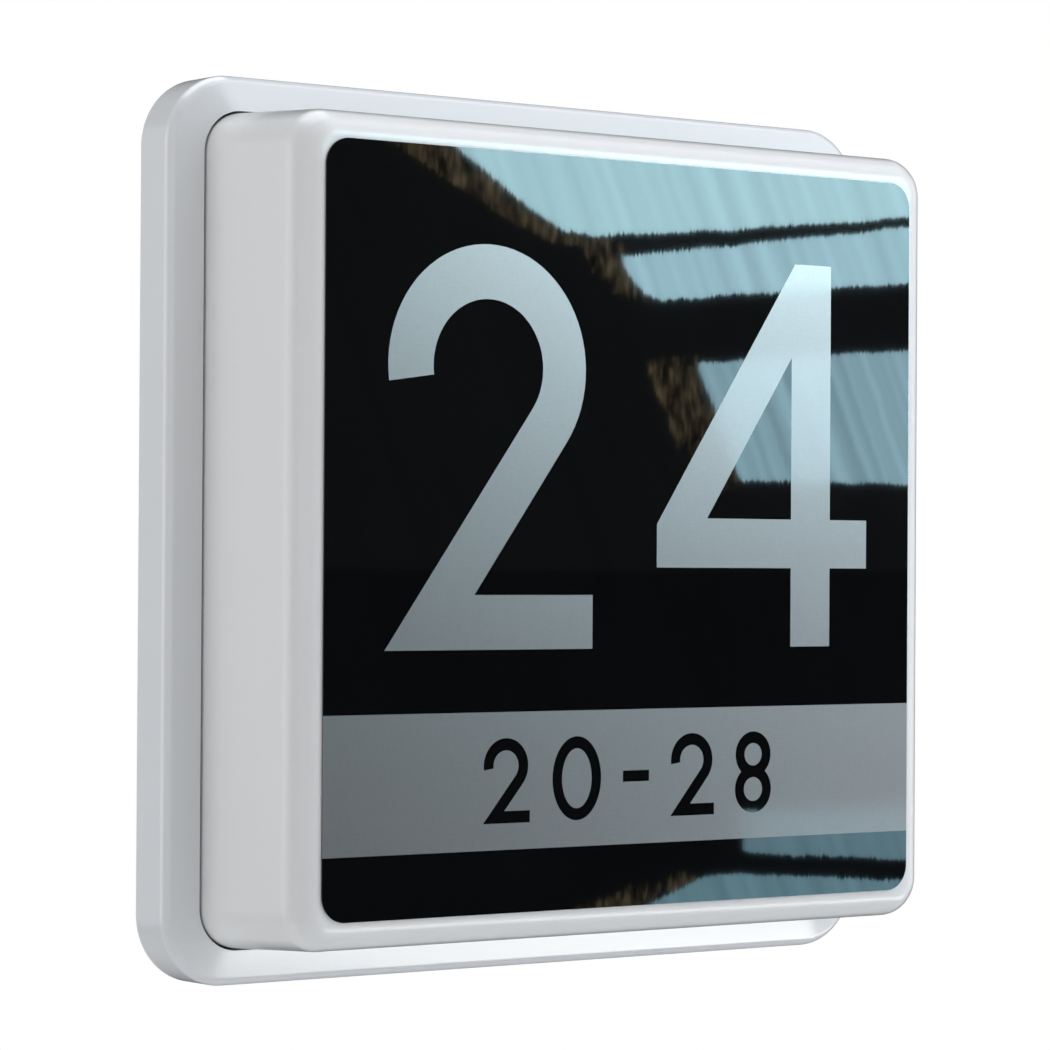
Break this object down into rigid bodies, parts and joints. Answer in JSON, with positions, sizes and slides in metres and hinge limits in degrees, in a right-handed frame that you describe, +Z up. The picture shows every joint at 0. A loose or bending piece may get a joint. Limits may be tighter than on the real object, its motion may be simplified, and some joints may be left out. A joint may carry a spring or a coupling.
{
  "type": "illuminated house number sign",
  "caption": "Square wall-mounted house number light: sloped white back housing, deep opal cover that pulls off, black and silver number panel, LED tray and driver inside.",
  "frame": {"origin": "middle of the housing's back face, on the wall plane", "axes": "+Y points into the wall, the front faces -Y, +X is to the reader's right and +Z is up"},
  "size_m": [0.24, 0.0584, 0.24],
  "materials": {
    "white_housing": "glossy white moulded plastic",
    "opal_cover": "glossy opal white plastic, lets light through",
    "silver_film": "silver-grey film with a fine linen grain",
    "black_film": "high-gloss black film",
    "white_seal": "matt silicone",
    "black_rubber": "matt rubber",
    "white_steel": "satin white paint on sheet steel",
    "zinc_steel": "zinc-plated steel",
    "white_board": "white solder mask",
    "led_phosphor": "yellow phosphor in a white package",
    "clear_lens": "clear acrylic",
    "connector_white": "natural nylon",
    "driver_white": "fine-textured white plastic",
    "green_board": "green solder mask",
    "transformer_core": "dark ferrite with tape",
    "capacitor_sleeve": "sleeved aluminium can",
    "terminal_white": "natural nylon",
    "brass": "turned brass",
    "lead_brown": "brown insulation",
    "lead_blue": "blue insulation",
    "lead_red": "red insulation",
    "lead_black": "black insulation"
  },
  "bodies": {
    "base": {"base_tray": "white_housing", "cover_seal": "white_seal", "cable_grommet": "black_rubber", "reflector_pan": "white_steel", "reflector_screws": "zinc_steel", "led_board_screws": "zinc_steel", "led_chips": "led_phosphor", "led_lenses": "clear_lens", "board_connectors": "connector_white", "driver_case": "driver_white", "driver_lid": "driver_white", "driver_board": "green_board", "driver_transformer": "transformer_core", "driver_capacitors": "capacitor_sleeve", "driver_screws": "zinc_steel", "terminal_block": "terminal_white", "terminal_cages": "brass", "terminal_screws": "zinc_steel", "terminal_fixing_screws": "zinc_steel", "live_lead": "lead_brown", "neutral_lead": "lead_blue", "led_positive_lead": "lead_red", "led_negative_lead": "lead_black", "jumper_leads": "connector_white", "led_board_1": "white_board", "led_board_2": "white_board", "led_board_3": "white_board", "led_board_4": "white_board"},
    "cover": {"diffuser_cover": "opal_cover", "silver_film": "silver_film", "black_film": "black_film"}
  },
  "joints": [
    {"name": "cover_pull", "type": "slide", "parent": "base", "child": "cover", "axis": [0, -1, 0], "range_m": [0, 0.09]}
  ]
}
